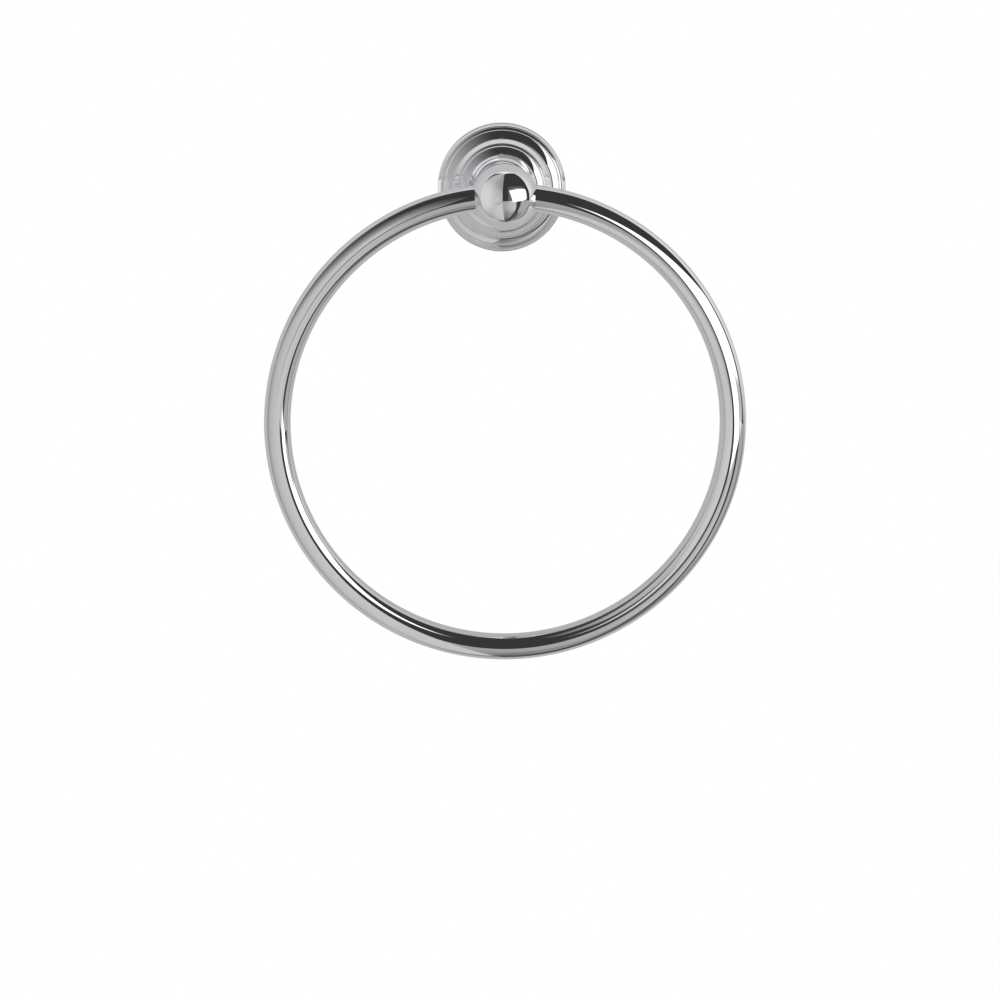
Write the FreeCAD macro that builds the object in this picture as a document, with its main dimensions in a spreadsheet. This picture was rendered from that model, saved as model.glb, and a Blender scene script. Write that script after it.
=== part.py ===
import FreeCAD, Part
import math
import os
import Sketcher

# Towel ring: a stepped wall rose, a neck and a ball on one axis, and a large ring held in the ball.
# Millimetres. +Z is up and the wall is the plane Y = 0. The rose's axis runs along Y and the front
# faces -Y, so a depth is a distance in front of the wall. The origin is the middle of the rose's back.

doc = FreeCAD.newDocument("towel_ring")

# Driving dimensions. Each can be set by itself.
DRIVING = [
    # The ring and its two ends
    ("ring_radius", 86.0, "ring's middle line, from its centre"),
    ("rod_radius", 5.0, "ring's rod"),
    ("rod_seat", 1.45, "how deep the rod's shoulder is let into the ball"),
    ("spigot_radius", 3.0, "turned-down end of the rod"),
    ("spigot_web", 1.2, "metal between a spigot's end and the clamp screw's hole"),
    # The ball
    ("ball_radius", 12.25, "ball"),
    ("ball_overhang", 3.65, "how far the ball stands out past the neck's end, all round"),
    ("ball_standoff", 47.0, "ball's centre, in front of the wall"),
    ("lock_screw_radius", 1.5, "set screw that locks a spigot"),
    # The neck, from the rose outwards
    ("neck_foot_radius", 10.6, "neck where it leaves its collar"),
    ("neck_foot_round", 0.3, "hollow corner between collar and neck"),
    ("collar_width", 1.3, "neck's collar, outside the neck"),
    ("collar_proud", 0.25, "collar's face in front of the rose's crown"),
    ("collar_sink", 1.5, "collar's seat behind the rose's crown"),
    # The rose's steps, from the neck outwards: widths across the face, then rises off the wall
    ("crown_width", 1.1, "flat of the crown, outside the collar"),
    ("inner_cove_width", 2.8, "inner cove"),
    ("inner_lip_width", 0.6, "flat below the inner cove"),
    ("inner_step_width", 0.65, "rounded step inside the middle flat"),
    ("middle_width", 1.9, "middle flat"),
    ("outer_cove_width", 2.95, "outer cove"),
    ("outer_lip_width", 0.45, "flat below the outer cove"),
    ("outer_step_width", 1.15, "rounded step inside the rim"),
    ("rim_width", 1.2, "flat of the rim"),
    ("skirt_depth", 5.0, "rim's face, in front of the wall"),
    ("outer_step_rise", 1.0, "outer lip over the rim"),
    ("outer_cove_rise", 1.85, "middle flat over the outer lip"),
    ("inner_step_rise", 0.6, "inner lip over the middle flat"),
    ("inner_cove_rise", 1.8, "crown over the inner lip"),
    # The arcs that the steps and coves follow, as radii
    ("inner_cove_bend", 5.5, "inner cove"),
    ("inner_step_bend", 2.0, "inner step"),
    ("outer_cove_bend", 5.8, "outer cove"),
    ("outer_step_bend", 3.5, "outer step"),
    # The rose's back
    ("rose_wall", 1.4, "metal left between the back and the lips"),
    ("skirt_wall", 2.5, "skirt"),
    ("well_radius", 12.0, "well that takes the clamp screw's head"),
    # The clamp screw and its spring washer
    ("clamp_screw_radius", 2.5, "thread's outside"),
    ("clamp_head_radius", 4.5, "head"),
    ("clamp_head_height", 3.2, "head"),
    ("clamp_stop", 1.2, "screw's tip short of the ball's centre"),
    ("washer_radius", 5.0, "spring washer, outside"),
    ("washer_thickness", 1.2, "spring washer, pressed flat"),
    ("washer_gap", 1.0, "slot through the spring washer"),
    # The wall bracket
    ("bracket_clearance", 0.6, "between the bracket's edge and the skirt"),
    ("bracket_gap", 0.2, "between the bracket's face and the rose"),
    ("bracket_undercut", 1.9, "how much smaller the bracket's back is than its face, in radius"),
    ("bracket_bore_radius", 7.0, "middle hole, clear of the clamp screw's head"),
    ("wall_screw_spacing", 26.0, "between the two wall screws"),
    ("wall_hole_radius", 2.25, "wall screw's hole"),
    ("wall_head_radius", 4.5, "countersink's mouth"),
    # The rose's grub screw
    ("grub_radius", 2.0, "thread's outside"),
    ("grub_point_radius", 0.9, "flat of the point"),
    ("grub_sink", 0.4, "screw's end below the skirt's outside"),
    # Sockets for keys, and fits
    ("clamp_key", 4.0, "hexagon across its flats"),
    ("grub_key", 2.0, "hexagon across its flats"),
    ("lock_key", 1.5, "hexagon across its flats"),
    ("key_depth", 1.8, "depth of a key's socket"),
    ("through_clearance", 0.25, "round the clamp screw's shank"),
    ("fit", 0.05, "round what is seated or screwed in"),
    ("end_gap", 0.6, "between a screw's end and the bottom of its hole"),
    ("edge_round", 0.25, "broken edges of the rose"),
]

# Places worked out from the driving dimensions.
WORKED_OUT = [
    ("collar_radius", "=sizes.neck_foot_radius + sizes.collar_width"),
    ("crown_radius", "=collar_radius + sizes.crown_width"),
    ("inner_cove_radius", "=crown_radius + sizes.inner_cove_width"),
    ("inner_lip_radius", "=inner_cove_radius + sizes.inner_lip_width"),
    ("middle_inner_radius", "=inner_lip_radius + sizes.inner_step_width"),
    ("middle_outer_radius", "=middle_inner_radius + sizes.middle_width"),
    ("outer_cove_radius", "=middle_outer_radius + sizes.outer_cove_width"),
    ("outer_lip_radius", "=outer_cove_radius + sizes.outer_lip_width"),
    ("rim_inner_radius", "=outer_lip_radius + sizes.outer_step_width"),
    ("rose_radius", "=rim_inner_radius + sizes.rim_width"),
    ("outer_lip_depth", "=sizes.skirt_depth + sizes.outer_step_rise"),
    ("middle_depth", "=outer_lip_depth + sizes.outer_cove_rise"),
    ("inner_lip_depth", "=middle_depth + sizes.inner_step_rise"),
    ("crown_depth", "=inner_lip_depth + sizes.inner_cove_rise"),
    ("collar_seat_depth", "=crown_depth - sizes.collar_sink"),
    ("collar_face_depth", "=crown_depth + sizes.collar_proud"),
    ("neck_foot_depth", "=collar_face_depth + sizes.neck_foot_round"),
    ("neck_fillet_radius", "=sizes.neck_foot_radius + sizes.neck_foot_round"),
    ("neck_end_radius", "=sizes.ball_radius - sizes.ball_overhang"),
    ("neck_end_depth", "=sizes.ball_standoff - sqrt(sizes.ball_radius^2 - neck_end_radius^2)"),
    ("cavity_radius", "=rose_radius - sizes.skirt_wall"),
    ("cavity_depth", "=outer_lip_depth - sizes.rose_wall"),
    ("well_depth", "=inner_lip_depth - sizes.rose_wall"),
    ("through_radius", "=sizes.clamp_screw_radius + sizes.through_clearance"),
    ("collar_seat_radius", "=collar_radius + sizes.fit"),
    ("tapped_radius", "=sizes.clamp_screw_radius + sizes.fit"),
    ("clamp_seat_depth", "=well_depth - sizes.washer_thickness"),
    ("clamp_head_depth", "=clamp_seat_depth - sizes.clamp_head_height"),
    ("clamp_tip_depth", "=sizes.ball_standoff - sizes.clamp_stop"),
    ("tapped_depth", "=clamp_tip_depth + sizes.end_gap"),
    ("bracket_face_radius", "=cavity_radius - sizes.bracket_clearance"),
    ("bracket_back_radius", "=bracket_face_radius - sizes.bracket_undercut"),
    ("bracket_thickness", "=cavity_depth - sizes.bracket_gap"),
    ("grub_depth", "=sizes.skirt_depth / 2"),
    ("grub_edge_depth", "=grub_depth + sizes.grub_point_radius"),
    ("grub_slope", "=sizes.bracket_undercut / bracket_thickness"),
    ("grub_point_place", "=bracket_back_radius + grub_slope * grub_edge_depth + sizes.fit"),
    ("grub_end_place", "=rose_radius - sizes.grub_sink"),
    ("grub_taper", "=sizes.grub_radius - sizes.grub_point_radius"),
    ("shoulder_x", "=sqrt(sizes.ball_radius^2 - sizes.rod_radius^2) - sizes.rod_seat"),
    ("shoulder_z", "=sqrt(sizes.ring_radius^2 - shoulder_x^2) - sizes.ring_radius"),
    ("shoulder_angle", "=asin(shoulder_x / sizes.ring_radius) / 1deg"),
    ("spigot_tip_x", "=tapped_radius + sizes.spigot_web"),
    ("spigot_length", "=(shoulder_x - spigot_tip_x) / cos(shoulder_angle * 1deg)"),
    ("lock_x", "=(shoulder_x + spigot_tip_x) / 2"),
    ("lock_z", "=shoulder_z + spigot_length / 2 * sin(shoulder_angle * 1deg)"),
    ("lock_back_depth", "=neck_end_depth + sizes.end_gap / 2"),
    ("lock_tip_depth", "=sizes.ball_standoff - sizes.spigot_radius - sizes.fit"),
]


def fill_sheet(name, rows):
    """A spreadsheet with one row for each value: its note, and a cell that has the value's name."""
    sheet = doc.addObject("Spreadsheet::Sheet", name)
    for number, row in enumerate(rows, start=1):
        sheet.set("A%d" % number, row[0] if len(row) == 2 else row[2])
        sheet.set("B%d" % number, str(row[1]))
        sheet.setAlias("B%d" % number, row[0])
    doc.recompute()
    return sheet


sizes = fill_sheet("sizes", DRIVING)
places = fill_sheet("places", WORKED_OUT)
DRIVING_NAMES = [row[0] for row in DRIVING]


def cell(name):
    """The expression that reads a value from its sheet."""
    return ("sizes." if name in DRIVING_NAMES else "places.") + name


def value(name):
    """A value's present number."""
    number = (sizes if name in DRIVING_NAMES else places).get(name)
    return float(getattr(number, "Value", number))


def new_body(name):
    body = doc.addObject("PartDesign::Body", name)
    body.Label = name
    return body


def sketch_on(body, role, name):
    """A sketch on one of the body's own origin planes."""
    plane = next(item for item in body.Origin.OriginFeatures if item.Role == role)
    sketch = body.newObject("Sketcher::SketchObject", name)
    sketch.AttachmentSupport = (plane, [""])
    sketch.MapMode = "FlatFace"
    return sketch


def arc_centre(here, there, run, bend):
    """Centre of the arc between two corners: level with one of them, or a bend's radius from both.

    A hollow's centre is in front of the line between the corners, and a bulge's is behind it.
    """
    (r0, d0), (r1, d1) = here, there
    if run == "upright next":
        return ((r0 ** 2 - r1 ** 2 + (d1 - d0) ** 2) / (2 * (r0 - r1)), d1)
    if run == "flat here":
        return (r0, ((r1 - r0) ** 2 + d1 ** 2 - d0 ** 2) / (2 * (d1 - d0)))
    chord = math.hypot(r1 - r0, d1 - d0)
    aside = math.sqrt(bend ** 2 - (chord / 2) ** 2) / chord
    if run == "bulge":
        aside = -aside
    return ((r0 + r1) / 2 + aside * (d1 - d0), (d0 + d1) / 2 + aside * (r0 - r1))


def turn(body, corners):
    """Revolve a closed profile about the rose's axis.

    Each corner is (radius, depth, run): the names of its two values, and how the profile runs to the
    next corner. A run is "line", or an arc whose centre is level with this corner's radius ("flat
    here") or with the next corner's depth ("upright next"), or a "hollow" or "bulge" and the name of
    its bend. The name "axis" is a radius of nothing, and "wall" is a depth of nothing.
    """
    sketch = sketch_on(body, "XY_Plane", body.Name + "_profile")
    spots = [(0.0 if r == "axis" else value(r), 0.0 if d == "wall" else value(d)) for r, d, *run in corners]
    ends = []
    for index, (r, d, run, *bend) in enumerate(corners):
        here, there = spots[index], spots[(index + 1) % len(spots)]
        start = FreeCAD.Vector(here[0], -here[1], 0)
        stop = FreeCAD.Vector(there[0], -there[1], 0)
        if run == "line":
            sketch.addGeometry(Part.LineSegment(start, stop), False)
            ends.append((1, 2))
            continue
        across, deep = arc_centre(here, there, run, value(bend[0]) if bend else None)
        middle = FreeCAD.Vector(across, -deep, 0)
        first = math.atan2(start.y - middle.y, start.x - middle.x)
        last = math.atan2(stop.y - middle.y, stop.x - middle.x)
        forward = (last - first) % (2 * math.pi) < math.pi
        circle = Part.Circle(middle, FreeCAD.Vector(0, 0, 1), (start - middle).Length)
        span = (first, last) if forward else (last, first)
        sketch.addGeometry(Part.ArcOfCircle(circle, span[0], span[1]), False)
        ends.append((1, 2) if forward else (2, 1))
    rules = []
    for index, (r, d, run, *bend) in enumerate(corners):
        following = (index + 1) % len(corners)
        near, far = ends[index]
        rules.append(Sketcher.Constraint("Coincident", index, far, following, ends[following][0]))
        if run == "flat here":
            rules.append(Sketcher.Constraint("Vertical", index, 3, index, near))
        if run == "upright next":
            rules.append(Sketcher.Constraint("Horizontal", index, 3, index, far))
        if r == "axis":
            rules.append(Sketcher.Constraint("PointOnObject", index, near, -2))
        if d == "wall":
            rules.append(Sketcher.Constraint("PointOnObject", index, near, -1))
    sketch.addConstraint(rules)
    for index, (r, d, run, *bend) in enumerate(corners):
        near = ends[index][0]
        if bend:
            rule = sketch.addConstraint(Sketcher.Constraint("Radius", index, value(bend[0])))
            sketch.setExpression("Constraints[%d]" % rule, cell(bend[0]))
        if r != "axis":
            rule = sketch.addConstraint(Sketcher.Constraint("DistanceX", -1, 1, index, near, value(r)))
            sketch.setExpression("Constraints[%d]" % rule, cell(r))
        if d != "wall":
            rule = sketch.addConstraint(Sketcher.Constraint("DistanceY", index, near, -1, 1, value(d)))
            sketch.setExpression("Constraints[%d]" % rule, cell(d))
    revolution = body.newObject("PartDesign::Revolution", body.Name + "_turned")
    revolution.Profile = sketch
    revolution.ReferenceAxis = (sketch, ["V_Axis"])
    revolution.Angle = 360
    sketch.Visibility = False
    doc.recompute()
    return revolution


def cylinder(name, radius, height, place):
    """A cylinder from its bottom's middle along its own Z. The three texts are expressions."""
    solid = doc.addObject("Part::Cylinder", name)
    solid.setExpression("Radius", radius)
    solid.setExpression("Height", height)
    solid.setExpression("Placement", place)
    return solid


def key_socket(name, across_flats, place):
    """A hexagonal socket for a key, cut from the end of a screw."""
    solid = doc.addObject("Part::Prism", name)
    solid.Polygon = 6
    solid.setExpression("Circumradius", across_flats + " / sqrt(3)")
    solid.setExpression("Height", "sizes.key_depth")
    solid.setExpression("Placement", place)
    return solid


def cut(name, base, tools):
    """The base with each tool taken out of it, in turn."""
    for number, tool in enumerate(tools):
        last = number == len(tools) - 1
        result = doc.addObject("Part::Cut", name if last else "%s_cut_%d" % (name, number))
        result.Base = base
        result.Tool = tool
        base = result
    base.Label = name
    return base


# Placement expressions: a cylinder's own Z is turned away from the wall, or up.
OUT_OF_WALL = "placement(vector(%s; -(%s); %s); rotation(vector(1; 0; 0); 90))"
DOWNWARDS = "placement(vector(0; -(%s); -(%s)); rotation(vector(1; 0; 0); 180))"

# Wall rose: turned brass, hollow behind. Rim, rounded step, cove, middle flat, step, cove and crown.
wall_rose = new_body("wall_rose")
rose_turned = turn(wall_rose, [
    ("rose_radius", "wall", "line"),
    ("rose_radius", "skirt_depth", "line"),
    ("rim_inner_radius", "skirt_depth", "bulge", "outer_step_bend"),
    ("outer_lip_radius", "outer_lip_depth", "line"),
    ("outer_cove_radius", "outer_lip_depth", "hollow", "outer_cove_bend"),
    ("middle_outer_radius", "middle_depth", "line"),
    ("middle_inner_radius", "middle_depth", "bulge", "inner_step_bend"),
    ("inner_lip_radius", "inner_lip_depth", "line"),
    ("inner_cove_radius", "inner_lip_depth", "hollow", "inner_cove_bend"),
    ("crown_radius", "crown_depth", "line"),
    ("collar_seat_radius", "crown_depth", "line"),
    ("collar_seat_radius", "collar_seat_depth", "line"),
    ("through_radius", "collar_seat_depth", "line"),
    ("through_radius", "well_depth", "line"),
    ("well_radius", "well_depth", "line"),
    ("well_radius", "cavity_depth", "line"),
    ("cavity_radius", "cavity_depth", "line"),
    ("cavity_radius", "wall", "line"),
])


def front_edges(feature, rims):
    """Names of a turned feature's round edges that have one of these radius and depth pairs."""
    found = []
    for number, edge in enumerate(feature.Shape.Edges, start=1):
        if not isinstance(edge.Curve, Part.Circle):
            continue
        for radius, depth in rims:
            close_radius = abs(edge.Curve.Radius - value(radius)) < 1e-6
            close_depth = abs(edge.Curve.Center.y + value(depth)) < 1e-6
            if close_radius and close_depth and abs(edge.Curve.Axis.y) > 0.99:
                found.append("Edge%d" % number)
    return found


rose_edges = wall_rose.newObject("PartDesign::Fillet", "wall_rose_edges")
rose_edges.Base = (rose_turned, front_edges(rose_turned, [
    ("rose_radius", "skirt_depth"),
    ("middle_outer_radius", "middle_depth"),
    ("crown_radius", "crown_depth"),
]))
rose_edges.setExpression("Radius", "sizes.edge_round")
doc.recompute()

grub_hole = sketch_on(wall_rose, "XY_Plane", "grub_hole")
grub_hole.addGeometry(Part.Circle(FreeCAD.Vector(0, -value("grub_depth"), 0), FreeCAD.Vector(0, 0, 1),
                                  value("grub_radius") + value("fit")), False)
grub_hole.addConstraint(Sketcher.Constraint("PointOnObject", 0, 3, -2))
grub_hole.addConstraint(Sketcher.Constraint("DistanceY", 0, 3, -1, 1, value("grub_depth")))
grub_hole.setExpression("Constraints[1]", "places.grub_depth")
grub_hole.addConstraint(Sketcher.Constraint("Radius", 0, value("grub_radius") + value("fit")))
grub_hole.setExpression("Constraints[2]", "sizes.grub_radius + sizes.fit")
grub_pocket = wall_rose.newObject("PartDesign::Pocket", "grub_pocket")
grub_pocket.Profile = grub_hole
grub_pocket.setExpression("Length", "places.rose_radius + sizes.skirt_wall")
doc.recompute()

# Neck: turned brass, with a collar let into the crown, gently waisted, and bored for the clamp screw.
neck = new_body("neck")
turn(neck, [
    ("through_radius", "collar_seat_depth", "line"),
    ("collar_radius", "collar_seat_depth", "line"),
    ("collar_radius", "collar_face_depth", "line"),
    ("neck_fillet_radius", "collar_face_depth", "flat here"),
    ("neck_foot_radius", "neck_foot_depth", "upright next"),
    ("neck_end_radius", "neck_end_depth", "line"),
    ("through_radius", "neck_end_depth", "line"),
])

# Ball: turned brass, faced off where the neck meets it, tapped from behind, and bored from each side
# for the ring's ends. The two stepped bores follow the ring's curve, so the ring can't swing in them.
sphere = doc.addObject("Part::Sphere", "ball_sphere")
sphere.setExpression("Radius", "sizes.ball_radius")
sphere.setExpression("Placement", "placement(vector(0; -sizes.ball_standoff; 0); rotation(vector(1; 0; 0); 90))")
ball_tools = [
    cylinder("ball_back", "sizes.ball_radius", "places.neck_end_depth", OUT_OF_WALL % ("0", "0", "0")),
    cylinder("ball_tapping", "places.tapped_radius", "places.tapped_depth", OUT_OF_WALL % ("0", "0", "0")),
]
SIDES = (("left", -1), ("right", 1))
AT_SHOULDER = ("placement(vector(%d * places.shoulder_x; -sizes.ball_standoff; places.shoulder_z);"
               " rotation(vector(0; 1; 0); %s))")
for side, sign in SIDES:
    outwards = AT_SHOULDER % (sign, "%d * (90 + places.shoulder_angle)" % sign)
    inwards = AT_SHOULDER % (sign, "%d * (places.shoulder_angle - 90)" % sign)
    ball_tools.append(cylinder("rod_socket_" + side, "sizes.rod_radius + sizes.fit", "sizes.ball_radius", outwards))
    ball_tools.append(cylinder("spigot_bore_" + side, "sizes.spigot_radius + sizes.fit",
                               "places.spigot_length + sizes.fit", inwards))
    ball_tools.append(cylinder("lock_hole_" + side, "sizes.lock_screw_radius + sizes.fit",
                               "sizes.ball_standoff - places.neck_end_depth",
                               OUT_OF_WALL % ("%d * places.lock_x" % sign, "places.neck_end_depth", "places.lock_z")))
ball = cut("ball", sphere, ball_tools)

# Ring: one rod, bent round to its own start, with both ends turned down to spigots inside the ball.
hoop = doc.addObject("Part::Torus", "ring_hoop")
hoop.setExpression("Radius1", "sizes.ring_radius")
hoop.setExpression("Radius2", "sizes.rod_radius")
hoop.setExpression("Angle3", "360 - 2 * places.shoulder_angle")
hoop.setExpression("Placement", "placement(vector(0; -sizes.ball_standoff; -sizes.ring_radius);"
                                " rotation(vector(1; 0; 0); 90) * rotation(vector(0; 0; 1);"
                                " 90 + places.shoulder_angle))")
ring = doc.addObject("Part::MultiFuse", "ring")
ring.Shapes = [hoop] + [
    cylinder("spigot_" + side, "sizes.spigot_radius", "places.spigot_length",
             AT_SHOULDER % (sign, "%d * (places.shoulder_angle - 90)" % sign))
    for side, sign in SIDES
]
ring.Label = "ring"

# Lock screws: two small set screws under the neck's seat, each on one of the ring's spigots.
lock_screws = []
for side, sign in SIDES:
    at_back = OUT_OF_WALL % ("%d * places.lock_x" % sign, "places.lock_back_depth", "places.lock_z")
    shank = cylinder("lock_shank_" + side, "sizes.lock_screw_radius",
                     "places.lock_tip_depth - places.lock_back_depth", at_back)
    lock_screws.append(cut("ring_lock_screw_" + side, shank,
                           [key_socket("lock_socket_" + side, "sizes.lock_key", at_back)]))

# Clamp screw: steel, from inside the rose through the neck into the ball. It holds the three together.
clamp_body = new_body("clamp_screw_blank")
turn(clamp_body, [
    ("axis", "clamp_head_depth", "line"),
    ("clamp_head_radius", "clamp_head_depth", "line"),
    ("clamp_head_radius", "clamp_seat_depth", "line"),
    ("clamp_screw_radius", "clamp_seat_depth", "line"),
    ("clamp_screw_radius", "clamp_tip_depth", "line"),
    ("axis", "clamp_tip_depth", "line"),
])
clamp_screw = cut("clamp_screw", clamp_body, [
    key_socket("clamp_socket", "sizes.clamp_key", OUT_OF_WALL % ("0", "places.clamp_head_depth", "0")),
])

# Spring washer: a split steel ring between the screw's head and the rose, pressed flat.
washer_place = OUT_OF_WALL % ("0", "places.clamp_seat_depth", "0")
washer_slot = doc.addObject("Part::Box", "washer_slot")
washer_slot.setExpression("Length", "sizes.washer_gap")
washer_slot.setExpression("Width", "sizes.washer_thickness")
washer_slot.setExpression("Height", "sizes.washer_radius")
washer_slot.setExpression("Placement", "placement(vector(-sizes.washer_gap / 2; -places.well_depth; 0);"
                                       " rotation(vector(0; 0; 1); 0))")
spring_washer = cut("spring_washer", cylinder("washer_disc", "sizes.washer_radius", "sizes.washer_thickness",
                                              washer_place), [
    cylinder("washer_hole", "places.through_radius", "sizes.washer_thickness", washer_place),
    washer_slot,
])

# Wall bracket: a zinc disc screwed to the wall. Its edge leans back, so that the rose's grub screw
# pulls the rose against the wall.
wall_bracket = new_body("wall_bracket")
turn(wall_bracket, [
    ("bracket_bore_radius", "wall", "line"),
    ("bracket_back_radius", "wall", "line"),
    ("bracket_face_radius", "bracket_thickness", "line"),
    ("bracket_bore_radius", "bracket_thickness", "line"),
])


def wall_hole(sign):
    """One countersunk hole through the bracket, as a groove about the screw's own line."""
    name = "wall_hole_" + ("right" if sign > 0 else "left")
    sketch = sketch_on(wall_bracket, "XY_Plane", name + "_profile")
    middle = sign * value("wall_screw_spacing") / 2
    slope = value("wall_head_radius") - value("wall_hole_radius")
    depth = value("bracket_thickness")
    outline = [(0, 0), (value("wall_hole_radius"), 0), (value("wall_hole_radius"), depth - slope),
               (value("wall_head_radius"), depth), (0, depth)]
    points = [FreeCAD.Vector(middle + x, -y, 0) for x, y in outline]
    for start, stop in zip(points, points[1:] + points[:1]):
        sketch.addGeometry(Part.LineSegment(start, stop), False)
    count = len(points)
    rules = [Sketcher.Constraint("Coincident", item, 2, (item + 1) % count, 1) for item in range(count)]
    rules += [Sketcher.Constraint("PointOnObject", 0, 1, -1), Sketcher.Constraint("Horizontal", 0)]
    rules += [Sketcher.Constraint("Vertical", 1), Sketcher.Constraint("Horizontal", 3)]
    rules += [Sketcher.Constraint("Vertical", 4)]
    sketch.addConstraint(rules)
    from_axis = (-1, 1, 0, 1) if sign > 0 else (0, 1, -1, 1)
    bound = [
        ("DistanceX", from_axis, abs(middle), "sizes.wall_screw_spacing / 2"),
        ("DistanceX", (0, 1, 0, 2), value("wall_hole_radius"), "sizes.wall_hole_radius"),
        ("DistanceX", (3, 2, 3, 1), value("wall_head_radius"), "sizes.wall_head_radius"),
        ("DistanceY", (2, 2, -1, 1), depth, "places.bracket_thickness"),
        ("DistanceY", (2, 2, 2, 1), slope, "sizes.wall_head_radius - sizes.wall_hole_radius"),
    ]
    for kind, ends, number, text in bound:
        rule = sketch.addConstraint(Sketcher.Constraint(kind, ends[0], ends[1], ends[2], ends[3], number))
        sketch.setExpression("Constraints[%d]" % rule, text)
    groove = wall_bracket.newObject("PartDesign::Groove", name)
    groove.Profile = sketch
    groove.ReferenceAxis = (sketch, ["Edge5"])
    groove.Angle = 360
    doc.recompute()


for sign in (-1, 1):
    wall_hole(sign)

# Rose's grub screw: steel, in the underside of the skirt. Its point bears on the bracket's edge.
grub_place = DOWNWARDS % ("places.grub_depth", "places.grub_point_place")
grub_point = doc.addObject("Part::Cone", "grub_point")
grub_point.setExpression("Radius1", "sizes.grub_point_radius")
grub_point.setExpression("Radius2", "sizes.grub_radius")
grub_point.setExpression("Height", "places.grub_taper")
grub_point.setExpression("Placement", grub_place)
grub_blank = doc.addObject("Part::Fuse", "grub_blank")
grub_blank.Base = grub_point
grub_blank.Tool = cylinder("grub_shank", "sizes.grub_radius",
                           "places.grub_end_place - places.grub_point_place - places.grub_taper",
                           DOWNWARDS % ("places.grub_depth", "places.grub_point_place + places.grub_taper"))
rose_grub_screw = cut("rose_grub_screw", grub_blank, [
    key_socket("grub_socket", "sizes.grub_key",
               DOWNWARDS % ("places.grub_depth", "places.grub_end_place - sizes.key_depth")),
])

doc.recompute()

PARTS = [wall_bracket, wall_rose, neck, ball, ring, clamp_screw, spring_washer, rose_grub_screw] + lock_screws
for item in doc.Objects:
    if "Invalid" in item.State or "Error" in item.State:
        raise RuntimeError("%s failed: %s" % (item.Name, item.State))
for item in PARTS:
    if item.Shape.isNull() or not item.Shape.isValid() or len(item.Shape.Solids) != 1:
        raise RuntimeError("%s is not one valid solid" % item.Label)

os.makedirs("parts", exist_ok=True)
for item in PARTS:
    item.Shape.exportStep(os.path.join("parts", item.Label + ".step"))
    print("%-24s %10.2f mm3" % (item.Label, item.Shape.Volume))
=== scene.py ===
import math

import bpy
import numpy as np
from mathutils import Matrix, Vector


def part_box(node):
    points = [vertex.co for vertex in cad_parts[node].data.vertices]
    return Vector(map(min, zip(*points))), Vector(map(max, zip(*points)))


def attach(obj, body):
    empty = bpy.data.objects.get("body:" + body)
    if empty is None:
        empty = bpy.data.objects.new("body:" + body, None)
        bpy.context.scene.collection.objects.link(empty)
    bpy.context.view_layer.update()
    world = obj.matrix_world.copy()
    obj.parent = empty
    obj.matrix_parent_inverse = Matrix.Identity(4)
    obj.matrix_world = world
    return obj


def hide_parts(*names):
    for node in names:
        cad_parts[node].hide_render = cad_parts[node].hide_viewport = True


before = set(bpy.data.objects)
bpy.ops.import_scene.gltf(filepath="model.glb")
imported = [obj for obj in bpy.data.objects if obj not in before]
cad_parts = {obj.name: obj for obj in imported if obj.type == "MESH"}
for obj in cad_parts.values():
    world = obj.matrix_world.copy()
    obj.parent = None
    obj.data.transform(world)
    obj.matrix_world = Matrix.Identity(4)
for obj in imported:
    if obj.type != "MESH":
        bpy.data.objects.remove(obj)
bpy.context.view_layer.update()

# Wall rose: a turned brass cup, hollow behind, polished and chrome plated. From the rim inwards it
# has a rounded step, a cove and a flat, then the same again up to the crown. A grub screw's hole
# goes through the underside of its skirt.
MM = 0.001
rose_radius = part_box("wall_rose")[1].x
crown_depth = -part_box("wall_rose")[0].y
skirt_depth = 5.0 * MM
rim_width = 1.2 * MM
outer_step_width, outer_step_rise = 1.15 * MM, 1.0 * MM
outer_lip_width = 0.45 * MM
outer_cove_width, outer_cove_rise = 2.95 * MM, 1.85 * MM
middle_width = 1.9 * MM
inner_step_width, inner_step_rise = 0.65 * MM, 0.6 * MM
inner_lip_width = 0.6 * MM
inner_cove_width = 2.8 * MM
crown_width = 1.1 * MM
rim_inner = rose_radius - rim_width
outer_lip = rim_inner - outer_step_width
outer_cove = outer_lip - outer_lip_width
middle_outer = outer_cove - outer_cove_width
middle_inner = middle_outer - middle_width
inner_lip = middle_inner - inner_step_width
inner_cove = inner_lip - inner_lip_width
crown_outer = inner_cove - inner_cove_width
collar_radius = crown_outer - crown_width
outer_lip_depth = skirt_depth + outer_step_rise
middle_depth = outer_lip_depth + outer_cove_rise
inner_lip_depth = middle_depth + inner_step_rise
outer_step_bend = 3.5 * MM
outer_cove_bend = 5.8 * MM
inner_step_bend = 2.0 * MM
inner_cove_bend = 5.5 * MM
rose_wall = 1.4 * MM
skirt_wall = 2.5 * MM
collar_sink = 1.5 * MM
collar_seat_depth = crown_depth - collar_sink
cavity_radius = rose_radius - skirt_wall
cavity_depth = outer_lip_depth - rose_wall
well_radius = 12.0 * MM
well_depth = inner_lip_depth - rose_wall
screw_clearance = 2.75 * MM
seat_fit = 0.05 * MM
grub_depth = skirt_depth / 2
grub_hole_radius = 2.05 * MM
rose_buffing = 0.06 * MM
rose_rows, rose_columns = 300, 256

RUN_STEPS = 600
STEP = 0.02 * MM
CROWDING = 0.5 * MM
MATCH_STEP = STEP / 100
MATCH_PART = 500
DRILL_COLUMNS = 72
NEARLY_UPRIGHT = 0.9
FACING_SHARE = 0.8
SHARP_FROM = math.radians(30)


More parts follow.
